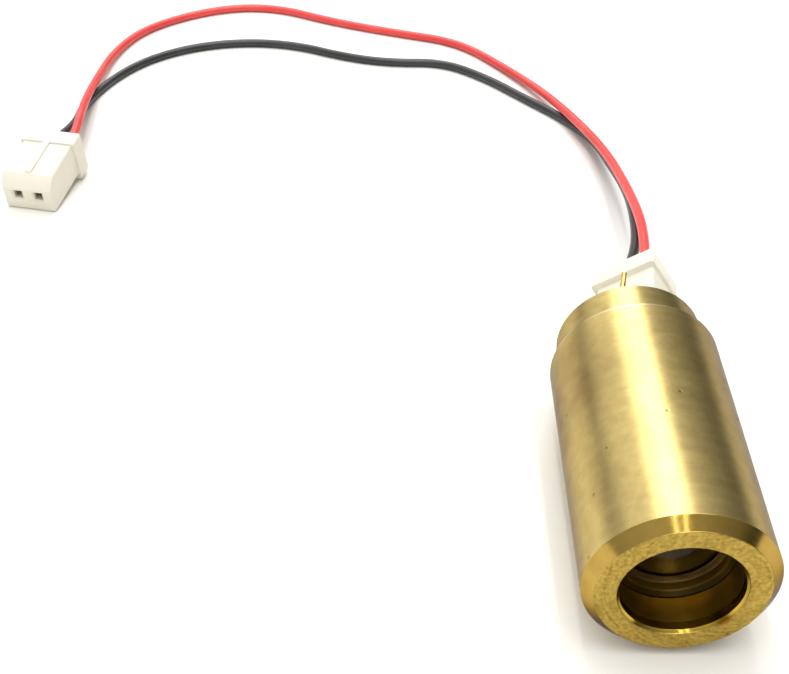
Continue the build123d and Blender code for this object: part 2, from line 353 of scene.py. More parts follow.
@dataclass(frozen=True)
class TurnedBrass:
    """Bare brass off the lathe.

    The outside has fine rings, mottling, a few pits, patches of tarnish, a painted dark reflection on the
    upper left flank and a band painted light as a highlight just short of the shoulder.
    The faced nose has swirl marks and a small stain on its rim, and the mouth is browner.
    """

    name: str = "turned_brass"

    # Colours of the turned outside.
    light: Colour = (0.71, 0.55, 0.215, 1.0)
    dark: Colour = (0.51, 0.385, 0.14, 1.0)
    # Tarnish, also the colour of the painted dark reflection on the upper left flank.
    tarnish_and_dark_reflection: Colour = (0.36, 0.25, 0.10, 1.0)
    # Painted highlight on the band just short of the shoulder.
    painted_lip_highlight: Colour = (0.94, 0.84, 0.56, 1.0)
    pitted: Colour = (0.20, 0.13, 0.04, 1.0)

    # Colours of the nose.
    face: Colour = (0.57, 0.40, 0.09, 1.0)
    face_dark: Colour = (0.30, 0.20, 0.04, 1.0)
    chamfer: Colour = (0.49, 0.325, 0.075, 1.0)
    chamfer_dark: Colour = (0.40, 0.26, 0.055, 1.0)
    stain: Colour = (0.26, 0.11, 0.008, 1.0)

    # Colours of the mouth, and of what lies deeper.
    bore: Colour = (0.60, 0.415, 0.05, 1.0)
    bore_dark: Colour = (0.51, 0.35, 0.04, 1.0)
    deep: Colour = (0.32, 0.22, 0.06, 1.0)

    # Roughness over the rings, what the nose loses of it and what the faced end gains back.
    roughness: Point2 = (0.285, 0.335)
    nose_polish: float = 0.14
    face_dullness: Point2 = (0.15, 0.30)
    # Tint of what is reflected at a flat angle.
    edge: Colour = (0.31, 0.32, 0.45, 1.0)

    # Where one surface ends and the next begins, and how far they run into each other.
    nose_y: float = -9.74 * MM
    face_y: float = -10.47 * MM
    bore_r: float = 3.80 * MM
    deep_y: float = -7.80 * MM
    crisp: float = 0.02 * MM
    soft: float = 0.1 * MM

    # Band painted light as a highlight just short of the shoulder, from and to its stations, and the width
    # of its slopes.
    lip_y: Point2 = (9.50 * MM, 9.74 * MM)
    lip_slope: float = 0.06 * MM

    # Centre of the painted dark reflection on the upper left flank, and of the stain, each with the
    # distances from it at which it starts to fade and ends.
    dark_reflection_at: Point3 = (-4.9 * MM, 4.5 * MM, 3.2 * MM)
    dark_reflection_reach: Point2 = (0.5 * MM, 5.5 * MM)
    stained: Point3 = (2.95 * MM, -10.45 * MM, -2.72 * MM)
    stained_r: Point2 = (0.3 * MM, 1.0 * MM)
    # Radii at which the stain starts to fade and ends.
    rim_r: Point2 = (3.98 * MM, 4.22 * MM)

    # Centre of the swirl marks.
    swirl_x: float = 2.6 * MM
    swirl_z: float = 1.2 * MM

    # Cells across the axis and rings along the profile, for each metre.
    fine_rings: Point2 = (120.0, 16000.0)
    wide_rings: Point2 = (90.0, 4200.0)
    swirl_rings: Point2 = (500.0, 5200.0)
    # Metres of profile counted for each metre of radius, so that end faces get rings too.
    radius_share: float = 1.3

    # Cells for each metre of what isn't turned, and which scattered points are pits, of what size.
    cloud_cells: float = 330.0
    mottle_cells: float = 1100.0
    speckle_cells: float = 3800.0
    pit_cells: float = 600.0
    pit_from_tone: float = 0.45
    pit_r: Point2 = (0.05, 0.10)

    # Share and depth of each relief.
    lip_relief: Point2 = (0.15, 0.02 * MM)
    fine_relief: Point2 = (0.08, 0.004 * MM)
    wide_relief: Point2 = (0.03, 0.008 * MM)
    swirl_relief: Point2 = (0.5, 0.03 * MM)
    speckle_relief: Point2 = (0.3, 0.02 * MM)
    pit_relief: Point2 = (0.6, 0.02 * MM)

    def material(self) -> bpy.types.Material:
        """Build the brass.

        Returns:
            The material.
        """
        sheet = ShaderSheet(self.name)
        marks = self.lay_out(sheet)
        return sheet.dress(
            Base_Color=self.colour(sheet, marks),
            Roughness=self.dullness(sheet, marks),
            Normal=self.relief(sheet, marks),
            Tangent=sheet.round_axis(),
            Metallic=1.0,
            Anisotropic=0.4,
            Anisotropic_Rotation=0.25,
            Specular_Tint=self.edge,
        )

    def lay_out(self, sheet: ShaderSheet) -> BrassMarks:
        """Find the places and patterns.

        Args:
            sheet: The sheet to draw on.

        Returns:
            All of them.
        """
        x, y, z = sheet.split(sheet.place())
        radius = self.reach(sheet, x, z)
        along = sheet.plus(sheet.times(radius, self.radius_share), y)
        fine = self.ring_place(sheet, x, along, z, self.fine_rings)
        wide = self.ring_place(sheet, x, along, z, self.wide_rings)
        cloud = sheet.noise(sheet.place(), self.cloud_cells, detail=4.0)
        return BrassMarks(
            radius=radius,
            station=y,
            on_nose=sheet.fall(y, self.nose_y - self.crisp, self.nose_y + self.crisp),
            on_face=sheet.fall(y, self.face_y, self.face_y + self.crisp),
            inside=sheet.fall(radius, self.bore_r, self.bore_r + self.soft),
            fine=sheet.noise(fine, 1.0, detail=1.0, rough=0.5),
            wide=sheet.noise(wide, 1.0, detail=2.0, rough=0.5),
            cloud=cloud,
            mottle=sheet.noise(sheet.place(), self.mottle_cells, rough=0.6),
            speckle=sheet.noise(sheet.place(), self.speckle_cells, detail=1.0, rough=0.5),
            swirl=self.swirl_marks(sheet, x, z),
            pit=self.pits(sheet),
            lip=sheet.times(self.lip_band(sheet, y), sheet.remap(cloud, 0.40, 0.60, 0.05, 0.5)),
        )

    def reach(self, sheet: ShaderSheet, x: Socket, z: Socket) -> Socket:
        """Distance from the axis of two coordinates across it."""
        return sheet.math("SQRT", sheet.plus(sheet.times(x, x), sheet.times(z, z)))

    def ring_place(
        self, sheet: ShaderSheet, x: Socket, along: Socket, z: Socket, rings: Point2
    ) -> Socket:
        """Place stretched round the axis.

        Args:
            sheet: The sheet to draw on.
            x: Object X.
            along: Station along the profile.
            z: Object Z.
            rings: Cells across the axis and rings along the profile, for each metre.

        Returns:
            The stretched vector.
        """
        across, lengthwise = rings
        far_x = sheet.times(x, across)
        far_z = sheet.times(z, across)
        return sheet.join(far_x, sheet.times(along, lengthwise), far_z)

    def swirl_marks(self, sheet: ShaderSheet, x: Socket, z: Socket) -> Socket:
        """Draw the arcs that the facing tool left about a centre off the axis.

        Args:
            sheet: The sheet to draw on.
            x: Object X.
            z: Object Z.

        Returns:
            The arcs.
        """
        off_x = sheet.minus(x, self.swirl_x)
        off_z = sheet.minus(z, self.swirl_z)
        arcs = self.ring_place(sheet, x, self.reach(sheet, off_x, off_z), z, self.swirl_rings)
        return sheet.noise(arcs, 1.0, rough=0.6)

    def pits(self, sheet: ShaderSheet) -> Socket:
        """Scatter a few pits.

        Args:
            sheet: The sheet to draw on.

        Returns:
            1 in a pit and 0 elsewhere.
        """
        spot, tone = sheet.scatter(self.pit_cells)
        picked = sheet.math("GREATER_THAN", tone, self.pit_from_tone)
        return sheet.times(sheet.fall(spot, *self.pit_r), picked)

    def lip_band(self, sheet: ShaderSheet, y: Socket) -> Socket:
        """Mark the band just short of the shoulder that is painted light as a highlight and given a bump.

        Args:
            sheet: The sheet to draw on.
            y: Object Y.

        Returns:
            1 on the band and 0 elsewhere.
        """
        start, end = self.lip_y
        front = sheet.rise(y, start, start + self.lip_slope)
        return sheet.times(front, sheet.fall(y, end - self.lip_slope, end))

    def colour(self, sheet: ShaderSheet, marks: BrassMarks) -> Socket:
        """Colour of the whole piece.

        Args:
            sheet: The sheet to draw on.
            marks: Places and patterns.

        Returns:
            The colour.
        """
        outside = sheet.blend(marks.on_nose, self.body_colour(sheet, marks), self.nose_colour(sheet, marks))
        dotted = sheet.blend(sheet.times(marks.pit, 0.6), outside, self.pitted)
        clean = sheet.blend(marks.inside, dotted, self.mouth_colour(sheet, marks))
        return sheet.blend(self.stain_share(sheet, marks), clean, self.stain)

    def body_colour(self, sheet: ShaderSheet, marks: BrassMarks) -> Socket:
        """Colour of the turned outside.

        Args:
            sheet: The sheet to draw on.
            marks: Places and patterns.

        Returns:
            The colour.
        """
        tone = sheet.plus(sheet.times(marks.wide, 0.25), sheet.times(marks.mottle, 0.75))
        clean = sheet.blend(sheet.rise(tone, 0.24, 0.76), self.dark, self.light)
        dulled = sheet.blend(sheet.remap(marks.cloud, 0.52, 0.75, 0.0, 0.3), clean, self.tarnish_and_dark_reflection)
        # Painted dark reflection: a darker patch in the tarnish colour on the upper left flank, fading out
        # with distance.
        near = sheet.fall(sheet.distance(self.dark_reflection_at), *self.dark_reflection_reach)
        painted_dark_reflection = sheet.times(near, sheet.remap(marks.cloud, 0.38, 0.58, 0.35, 0.75))
        # The band just short of the shoulder is painted light as a highlight.
        return sheet.blend(marks.lip, sheet.blend(painted_dark_reflection, dulled, self.tarnish_and_dark_reflection), self.painted_lip_highlight)

    def nose_colour(self, sheet: ShaderSheet, marks: BrassMarks) -> Socket:
        """Colour of the chamfer and the faced end.

        Args:
            sheet: The sheet to draw on.
            marks: Places and patterns.

        Returns:
            The colour.
        """
        cut = sheet.plus(sheet.times(marks.swirl, 0.55), sheet.times(marks.speckle, 0.45))
        face = sheet.blend(sheet.rise(cut, 0.36, 0.62), self.face_dark, self.face)
        slope = sheet.blend(sheet.rise(marks.cloud, 0.40, 0.60), self.chamfer, self.chamfer_dark)
        return sheet.blend(marks.on_face, slope, face)

    def mouth_colour(self, sheet: ShaderSheet, marks: BrassMarks) -> Socket:
        """Colour of the mouth and of what lies deeper.

        Args:
            sheet: The sheet to draw on.
            marks: Places and patterns.

        Returns:
            The colour.
        """
        mouth = sheet.blend(sheet.rise(marks.mottle, 0.25, 0.75), self.bore_dark, self.bore)
        depth = sheet.rise(marks.station, self.deep_y - self.soft, self.deep_y + self.soft)
        return sheet.blend(depth, mouth, self.deep)

    def stain_share(self, sheet: ShaderSheet, marks: BrassMarks) -> Socket:
        """Share of a small brown stain along the rim of the mouth.

        Args:
            sheet: The sheet to draw on.
            marks: Places and patterns.

        Returns:
            The share.
        """
        near = sheet.fall(sheet.distance(self.stained), *self.stained_r)
        rim = sheet.fall(marks.radius, *self.rim_r)
        patchy = sheet.remap(marks.mottle, 0.35, 0.55, 0.45, 0.95)
        return sheet.times(sheet.times(near, rim), patchy)

    def dullness(self, sheet: ShaderSheet, marks: BrassMarks) -> Socket:
        """Roughness of the whole piece.

        Args:
            sheet: The sheet to draw on.
            marks: Places and patterns.

        Returns:
            The roughness.
        """
        ringed = sheet.remap(marks.wide, *NOISE_SPAN, *self.roughness)
        plain = sheet.minus(ringed, sheet.times(marks.on_nose, self.nose_polish))
        rubbed = sheet.remap(marks.swirl, 0.35, 0.65, *self.face_dullness)
        return sheet.plus(plain, sheet.times(marks.on_face, rubbed))

    def relief(self, sheet: ShaderSheet, marks: BrassMarks) -> Socket:
        """Normal of the whole piece.

        Args:
            sheet: The sheet to draw on.
            marks: Places and patterns.

        Returns:
            The normal.
        """
        layers = (
            (marks.lip, self.lip_relief),
            (marks.fine, self.fine_relief),
            (marks.wide, self.wide_relief),
            (sheet.times(marks.on_face, marks.swirl), self.swirl_relief),
            (sheet.times(marks.on_face, marks.speckle), self.speckle_relief),
            (sheet.minus(1.0, marks.pit), self.pit_relief),
        )
        normal = None
        for height, (share, depth) in layers:
            normal = sheet.bump(height, share, depth, normal)
        return normal


@dataclass(frozen=True)
class Plating:
    """Thin plating on a small metal piece, with rubbed and dull patches."""

    name: str
    metal: Metal
    roughness: float = 0.19
    spread: Point2 = (0.8, 1.4)
    patch_cells: float = 1800.0
    scuff_cells: float = 9000.0
    scuff_stretch: Point3 = (1.0, 0.12, 1.0)
    scuff_relief: Point2 = (0.2, 0.004 * MM)

    def material(self) -> bpy.types.Material:
        """Build the plating.

        Returns:
            The material.
        """
        light, dark = self.metal.value
        least, most = self.spread
        sheet = ShaderSheet(self.name)
        patches = sheet.noise(sheet.place(), self.patch_cells)
        scuffs = sheet.noise(sheet.place(self.scuff_stretch), self.scuff_cells, detail=2.0)
        return sheet.dress(
            Base_Color=sheet.blend(sheet.rise(patches, 0.35, 0.65), dark, light),
            Roughness=sheet.remap(scuffs, *NOISE_SPAN, self.roughness * least, self.roughness * most),
            Normal=sheet.bump(scuffs, *self.scuff_relief),
            Metallic=1.0,
        )


@dataclass(frozen=True)
class Nylon:
    """Natural white moulded nylon with a faint orange peel."""

    name: str = "white_nylon"
    light: Colour = (0.82, 0.785, 0.665, 1.0)
    shade: Colour = (0.78, 0.74, 0.61, 1.0)
    roughness: Point2 = (0.36, 0.5)
    cloud_cells: float = 420.0
    peel_cells: float = 5200.0
    peel_relief: Point2 = (0.15, 0.006 * MM)

    def material(self) -> bpy.types.Material:
        """Build the nylon.

        Returns:
            The material.
        """
        sheet = ShaderSheet(self.name)
        cloud = sheet.noise(sheet.place(), self.cloud_cells)
        peel = sheet.noise(sheet.place(), self.peel_cells, detail=2.0)
        return sheet.dress(
            Base_Color=sheet.blend(sheet.rise(cloud, *NOISE_SPAN), self.shade, self.light),
            Roughness=sheet.remap(peel, *NOISE_SPAN, *self.roughness),
            Normal=sheet.bump(peel, *self.peel_relief),
            Subsurface_Weight=0.12,
            Subsurface_Radius=(0.6, 0.5, 0.4),
            Subsurface_Scale=0.5 * MM,
            IOR=1.53,
        )


@dataclass(frozen=True)
class Insulation:
    """Extruded lead insulation with a soft sheen and a faint grain."""

    name: str
    light: Colour
    dark: Colour
    roughness: float = 0.36
    spread: Point2 = (0.85, 1.25)
    cloud_cells: float = 260.0
    grain_cells: float = 6500.0
    grain_relief: Point2 = (0.2, 0.006 * MM)

    def material(self) -> bpy.types.Material:
        """Build the insulation.

        Returns:
            The material.
        """
        least, most = self.spread
        sheet = ShaderSheet(self.name)
        cloud = sheet.noise(sheet.place(), self.cloud_cells)
        grain = sheet.noise(sheet.place(), self.grain_cells, detail=2.0)
        return sheet.dress(
            Base_Color=sheet.blend(sheet.rise(cloud, *NOISE_SPAN), self.dark, self.light),
            Roughness=sheet.remap(grain, *NOISE_SPAN, self.roughness * least, self.roughness * most),
            Normal=sheet.bump(grain, *self.grain_relief),
            IOR=1.5,
        )


@dataclass(frozen=True)
class ClearGlass:
    """Polished glass with a faint tint and a trace of dust."""

    name: str
    tint: Colour
    ior: float = 1.5
    coat_tint: Colour = (1.0, 1.0, 1.0, 1.0)
    roughness: Point2 = (0.01, 0.08)
    dust_cells: float = 3500.0
    dust_shade: float = 0.9

    def material(self) -> bpy.types.Material:
        """Build the glass.

        Returns:
            The material.
        """
        sheet = ShaderSheet(self.name)
        dust = sheet.noise(sheet.place(), self.dust_cells)
        dusty = tuple(self.dust_shade * part for part in self.tint[:3]) + (1.0,)
        return sheet.dress(
            Base_Color=sheet.blend(sheet.rise(dust, 0.4, 0.7), self.tint, dusty),
            Roughness=sheet.remap(dust, 0.45, 0.75, *self.roughness),
            Transmission_Weight=1.0,
            IOR=self.ior,
            Specular_Tint=self.coat_tint,
        )


@dataclass(frozen=True)
class Ceramic:
    """Matt ceramic with fine grain."""

    name: str = "chip_ceramic"
    light: Colour = (0.74, 0.71, 0.64, 1.0)
    dark: Colour = (0.58, 0.55, 0.49, 1.0)
    roughness: Point2 = (0.5, 0.7)
    grain_cells: float = 12000.0

    def material(self) -> bpy.types.Material:
        """Build the ceramic.

        Returns:
            The material.
        """
        sheet = ShaderSheet(self.name)
        grain = sheet.noise(sheet.place(), self.grain_cells)
        return sheet.dress(
            Base_Color=sheet.blend(sheet.rise(grain, *NOISE_SPAN), self.dark, self.light),
            Roughness=sheet.remap(grain, *NOISE_SPAN, *self.roughness),
        )


@dataclass(frozen=True)
class TableTop:
    """Pale matt table with soft clouds."""

    name: str = "table_white"
    light: Colour = (0.87, 0.858, 0.815, 1.0)
    dark: Colour = (0.85, 0.838, 0.795, 1.0)
    cloud_cells: float = 30.0

    def material(self) -> bpy.types.Material:
        """Build the table's finish.

        Returns:
            The material.
        """
        sheet = ShaderSheet(self.name)
        cloud = sheet.noise(sheet.place(), self.cloud_cells, detail=2.0)
        return sheet.dress(
            Base_Color=sheet.blend(cloud, self.dark, self.light),
            Roughness=0.6,
            Specular_IOR_Level=0.2,
        )


Finish = TurnedBrass | Plating | Nylon | Insulation | ClearGlass | Ceramic | TableTop


class FinishShelf:
    """Makes each finish once and hands the same material out again."""

    def __init__(self) -> None:
        """Start with an empty shelf."""
        self.made: dict[str, bpy.types.Material] = {}

    def take(self, finish: Finish) -> bpy.types.Material:
        """Hand out the material of a finish.

        Args:
            finish: The finish.

        Returns:
            Its material.
        """
        if finish.name not in self.made:
            self.made[finish.name] = finish.material()
        return self.made[finish.name]


def dress_node(node: str, material: bpy.types.Material) -> bpy.types.Object:
    """Give a node of the solid model its finish.

    Args:
        node: Name of the node.
        material: Its finish.

    Returns:
        The node's object.
    """
    obj = frame["nodes"][node]
    for slot in obj.material_slots:
        slot.material = material
    log.info("dressed %s in %s", node, material.name)
    return obj


def add_piece(name: str, mesh: bpy.types.Mesh, slot: str, *nodes: str) -> bpy.types.Object:
    """Put a finished mesh into the scene as a piece that stands for nodes of the solid model.

    Args:
        name: Name of the piece.
        mesh: Its mesh, in the module's frame.
        slot: The record's material slot; not used.
        nodes: The nodes that it stands for.

    Returns:
        The piece.
    """
    obj = bpy.data.objects.new(name, mesh)
    bpy.context.scene.collection.objects.link(obj)
    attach(obj, BODY)
    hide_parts(*nodes)
    log.info("made %s, %d faces", name, len(mesh.polygons))
    return obj


def smooth(mesh: bpy.types.Mesh, sharp_deg: float) -> bpy.types.Mesh:
    """Shade a mesh smooth up to an angle between faces.

    Args:
        mesh: The mesh.
        sharp_deg: Angle past which an edge stays sharp.

    Returns:
        The same mesh.
    """
    for face in mesh.polygons:
        face.use_smooth = True
    mesh.set_sharp_from_angle(angle=radians(sharp_deg))
    return mesh


# Largest share of an edge that the arc at its end may take.
ARC_SHARE = 0.3
# Distance of a support point from its arc, as a share of the arc's own reach.
SUPPORT_SHARE = 0.3


def rounded_profile(points: list[Point2], radius: float, steps: int = 4) -> list[Point2]:
    """Break each corner of a closed profile with a small arc.

    Args:
        points: Corners as radius and station.
        radius: Largest radius of the arcs.
        steps: Segments of each arc.

    Returns:
        The corners and arcs in order, with a support point each side of an arc, and the first point again.
    """
    result: list[Point2] = []
    for index, corner in enumerate(points):
        here = Vector(corner)
        before = Vector(points[index - 1]) - here
        after = Vector(points[(index + 1) % len(points)]) - here
        turn = pi - before.angle(after)
        reach = min(radius * tan(turn / 2), ARC_SHARE * before.length, ARC_SHARE * after.length)
        start = here + before.normalized() * reach
        stop = here + after.normalized() * reach
        result.append(tuple(start + before.normalized() * SUPPORT_SHARE * reach))
        for step in range(steps + 1):
            share = step / steps
            bend = start.lerp(here, share).lerp(here.lerp(stop, share), share)
            result.append(tuple(bend))
        result.append(tuple(stop + after.normalized() * SUPPORT_SHARE * reach))
    return result + result[:1]


class Lathe:
    """A node tree that turns a profile of radius and station about the optical axis."""

    def __init__(self) -> None:
        """Build the tree with its named inputs."""
        self.tree = bpy.data.node_groups.new("turned_body", "GeometryNodeTree")
        self._input("Geometry", "NodeSocketGeometry")
        self.ids = {
            "segments": self._input("Segments", "NodeSocketInt"),
            "start": self._input("Start", "NodeSocketFloat"),
            "sweep": self._input("Sweep", "NodeSocketFloat"),
            "weld": self._input("Weld", "NodeSocketFloat"),
            "finish": self._input("Finish", "NodeSocketMaterial"),
        }
        self.tree.interface.new_socket("Geometry", in_out="OUTPUT", socket_type="NodeSocketGeometry")
        self._wire()

    def _input(self, name: str, kind: str) -> str:
        """Add an input to the tree and tell its identifier."""
        return self.tree.interface.new_socket(name, in_out="INPUT", socket_type=kind).identifier

    def _node(self, kind: str, **settings: str) -> bpy.types.Node:
        """Add a node to the tree.

        Args:
            kind: Type of the node.
            settings: Its settings by name.

        Returns:
            The node.
        """
        node = self.tree.nodes.new(kind)
        for name, value in settings.items():
            setattr(node, name, value)
        return node

    def _math(self, operation: str, first: Socket, second: Socket | float = 0.0) -> Socket:
        """Do one arithmetic step.

        Args:
            operation: Name of the step.
            first: First value.
            second: Second value, if the step needs one.

        Returns:
            The result.
        """
        node = self._node("ShaderNodeMath", operation=operation)
        self.tree.links.new(first, node.inputs[0])
        if isinstance(second, Socket):
            self.tree.links.new(second, node.inputs[1])
        else:
            node.inputs[1].default_value = second
        return node.outputs[0]

    def _wire(self) -> None:
        """Lay a grid of profile points by segments, wrap it round the axis and weld its seams."""
        link = self.tree.links.new
        given = self._node("NodeGroupInput")
        count = self._node("GeometryNodeAttributeDomainSize", component="MESH")
        link(given.outputs["Geometry"], count.inputs[0])
        columns = self._math("ADD", given.outputs["Segments"], 1.0)
        grid = self._node("GeometryNodeMeshGrid")
        link(count.outputs["Point Count"], grid.inputs["Vertices X"])
        link(columns, grid.inputs["Vertices Y"])
        index = self._node("GeometryNodeInputIndex").outputs[0]
        # Half a step more keeps the division from falling just short of a whole row.
        past = self._math("ADD", index, 0.5)
        row = self._math("FLOOR", self._math("DIVIDE", past, columns))
        column = self._math("SUBTRACT", index, self._math("MULTIPLY", row, columns))
        sample = self._node("GeometryNodeSampleIndex", data_type="FLOAT_VECTOR")
        link(given.outputs["Geometry"], sample.inputs["Geometry"])
        link(self._node("GeometryNodeInputPosition").outputs[0], sample.inputs["Value"])
        link(row, sample.inputs["Index"])
        point = self._node("ShaderNodeSeparateXYZ")
        link(sample.outputs[0], point.inputs[0])
        radius, station = point.outputs[0], point.outputs[1]
        share = self._math("DIVIDE", column, given.outputs["Segments"])
        swept = self._math("MULTIPLY", share, given.outputs["Sweep"])
        angle = self._math("ADD", swept, given.outputs["Start"])
        spot = self._node("ShaderNodeCombineXYZ")
        link(self._math("MULTIPLY", radius, self._math("COSINE", angle)), spot.inputs[0])
        link(station, spot.inputs[1])
        link(self._math("MULTIPLY", radius, self._math("SINE", angle)), spot.inputs[2])
        wrap = self._node("GeometryNodeSetPosition")
        link(grid.outputs["Mesh"], wrap.inputs["Geometry"])
        link(spot.outputs[0], wrap.inputs["Position"])
        weld = self._node("GeometryNodeMergeByDistance")
        link(wrap.outputs[0], weld.inputs["Geometry"])
        link(given.outputs["Weld"], weld.inputs["Distance"])
        real = self._node("GeometryNodeRealizeInstances")
        link(weld.outputs[0], real.inputs[0])
        finish = self._node("GeometryNodeSetMaterial")
        link(real.outputs[0], finish.inputs["Geometry"])
        link(given.outputs["Finish"], finish.inputs["Material"])
        link(finish.outputs[0], self._node("NodeGroupOutput").inputs[0])

    def turn(
        self, name: str, profile: list[Point2], material: bpy.types.Material, segments: int,
        start_deg: float = 0.0, sweep_deg: float = 360.0,
    ) -> bpy.types.Mesh:
        """Turn a profile into a closed mesh.

        Args:
            name: Name of the mesh.
            profile: Points of radius and station in millimetres, the first again at the end if it is closed.
            material: Finish of the body.
            segments: Segments round the axis.
            start_deg: Angle of the first segment.
            sweep_deg: Angle swept.

        Returns:
            A plain mesh in the module's frame.
        """
        line = bpy.data.meshes.new(name + "_profile")
        edges = [(i, i + 1) for i in range(len(profile) - 1)]
        line.from_pydata([(r * MM, y * MM, 0.0) for r, y in profile], edges, [])
        carrier = bpy.data.objects.new(name + "_profile", line)
        bpy.context.scene.collection.objects.link(carrier)
        modifier = carrier.modifiers.new("turned_body", "NODES")
        modifier.node_group = self.tree
        values = {
            "segments": segments,
            "start": radians(start_deg),
            "sweep": radians(sweep_deg),
            "weld": WELD,
            "finish": material,
        }
        for key, value in values.items():
            modifier[self.ids[key]] = value
        carrier.update_tag()
        graph = bpy.context.evaluated_depsgraph_get()
        mesh = bpy.data.meshes.new_from_object(carrier.evaluated_get(graph))
        mesh.name = name
        carrier.modifiers.remove(modifier)
        bpy.data.objects.remove(carrier)
        bpy.data.meshes.remove(line)
        self._close(mesh)
        return mesh

    def _close(self, mesh: bpy.types.Mesh) -> None:
        """Close the ends of a part turn and point all faces outwards.

        Args:
            mesh: The mesh, changed in place.
        """
        work = bmesh.new()
        work.from_mesh(mesh)
        open_edges = [edge for edge in work.edges if edge.is_boundary]
        if open_edges:
            bmesh.ops.holes_fill(work, edges=open_edges, sides=0)
        bmesh.ops.recalc_face_normals(work, faces=work.faces)
        work.to_mesh(mesh)
        work.free()


@dataclass
class Barrel:
    """Turned brass barrel with a chamfered nose, a recessed mouth and a stepped rear spigot.

    Sizes are radii, stations along the axis and widths in millimetres.
    """

    outside_r: float = 6.0
    spigot_r: float = 5.25
    front: float = -10.5
    shoulder: float = 10.0
    rear: float = 13.0
    nose_chamfer: float = 0.75
    edge_break: float = 0.25
    mouth_r: float = 3.75
    countersink: float = 0.2
    groove_r: float = 3.95
    groove_front: float = -7.85
    lens_front: float = -6.9
    lens_r: float = 3.65
    lens_seat: float = -5.3
    beam_r: float = 3.1
    cap_r: float = 2.2
    cap_start: float = 8.0
    diode_seat: float = 11.0
    pocket_r: float = 2.82
    pocket_break: float = 0.2
    softness: float = 0.05
    sharp_deg: float = 24.0
    segments: int = 320
    brass: TurnedBrass = TurnedBrass()

    def profile(self) -> list[Point2]:
        """List the corners of the section.

        Returns:
            The corners, front to rear outside and back inside.
        """
        cone_start = self.cap_start - (self.beam_r - self.cap_r)
        return [
            (self.mouth_r + self.countersink, self.front),
            (self.outside_r - self.nose_chamfer, self.front),
            (self.outside_r, self.front + self.nose_chamfer),
            (self.outside_r, self.shoulder - self.edge_break),
            (self.outside_r - self.edge_break, self.shoulder),
            (self.spigot_r, self.shoulder),
            (self.spigot_r, self.rear - self.edge_break),
            (self.spigot_r - self.edge_break, self.rear),
            (self.pocket_r + self.pocket_break, self.rear),
            (self.pocket_r, self.rear - self.pocket_break),
            (self.pocket_r, self.diode_seat),
            (self.cap_r, self.diode_seat),
            (self.cap_r, self.cap_start),
            (self.beam_r, cone_start),
            (self.beam_r, self.lens_seat),
            (self.lens_r, self.lens_seat),
            (self.lens_r, self.lens_front),
            (self.groove_r, self.lens_front),
            (self.groove_r, self.groove_front),
            (self.mouth_r, self.groove_front),
            (self.mouth_r, self.front + self.countersink),
        ]

    def build(self, lathe: Lathe, shelf: FinishShelf) -> None:
        """Turn the barrel and put it in place of its solid.

        Args:
            lathe: What turns it.
            shelf: Where its finish comes from.
        """
        line = rounded_profile(self.profile(), self.softness)
        mesh = lathe.turn("barrel_turned", line, shelf.take(self.brass), self.segments)
        add_piece("barrel_turned", smooth(mesh, self.sharp_deg), "turned_brass", "barrel")


@dataclass
class LensStack:
    """Collimating lens on its seat and the split ring that keeps it.

    Sizes are radii, stations along the axis and widths in millimetres.
    """

    ring_r: float = 3.93
    ring_inner_r: float = 3.45
    ring_front: float = -7.8
    ring_bevel: float = 0.35
    ring_land: float = 0.2
    ring_softness: float = 0.03
    ring_sharp_deg: float = 24.0
    split_at_deg: float = 90.0
    split_deg: float = 18.0
    lens_r: float = 3.63
    lens_front: float = -6.9
    lens_seat: float = -5.3
    lens_sharp_deg: float = 30.0
    dome_radius: float = 8.0
    dome_steps: int = 28
    segments: int = 192
    ring_brass: TurnedBrass = TurnedBrass(
        "ring_brass",
        bore=(0.046, 0.030, 0.007, 1.0),
        bore_dark=(0.034, 0.022, 0.005, 1.0),
        deep=(0.26, 0.175, 0.03, 1.0),
        bore_r=4.2 * MM,
        deep_y=-7.45 * MM,
        roughness=(0.42, 0.52),
        edge=(0.16, 0.11, 0.03, 1.0),
    )
    lens_glass: ClearGlass = ClearGlass(
        "lens_glass", tint=(0.86, 0.72, 0.84, 1.0), ior=1.49, coat_tint=(0.34, 0.22, 0.19, 1.0)
    )

    def ring_profile(self) -> list[Point2]:
        """List the corners of the ring's section.

        Returns:
            The corners.
        """
        return [
            (self.ring_r - self.ring_land, self.ring_front),
            (self.ring_r, self.ring_front),
            (self.ring_r, self.lens_front),
            (self.ring_inner_r, self.lens_front),
            (self.ring_inner_r, self.ring_front + self.ring_bevel),
        ]

    def lens_profile(self) -> list[Point2]:
        """Draw half of the lens's section.

        Returns:
            Points from its front pole to its back one.
        """
        centre = self.lens_front + sqrt(self.dome_radius**2 - self.ring_inner_r**2)
        dome = []
        for step in range(self.dome_steps + 1):
            r = self.ring_inner_r * step / self.dome_steps
            dome.append((r, centre - sqrt(self.dome_radius**2 - r**2)))
        rim = [(self.lens_r, self.lens_front), (self.lens_r, self.lens_seat)]
        return dome + rim + [(0.0, self.lens_seat)]

    def build(self, lathe: Lathe, shelf: FinishShelf) -> None:
        """Turn the ring and the lens and put them in place of their solids.

        Args:
            lathe: What turns them.
            shelf: Where their finishes come from.
        """
        line = rounded_profile(self.ring_profile(), self.ring_softness)
        ring = lathe.turn(
            "lens_ring", line, shelf.take(self.ring_brass), self.segments,
            self.split_at_deg + self.split_deg / 2, 360.0 - self.split_deg,
        )
        add_piece("lens_ring", smooth(ring, self.ring_sharp_deg), "turned_brass", "lens_retaining_ring")
        glass = shelf.take(self.lens_glass)
        lens = lathe.turn("lens_plano_convex", self.lens_profile(), glass, self.segments)
        add_piece("lens_plano_convex", smooth(lens, self.lens_sharp_deg), "lens_glass", "collimating_lens")


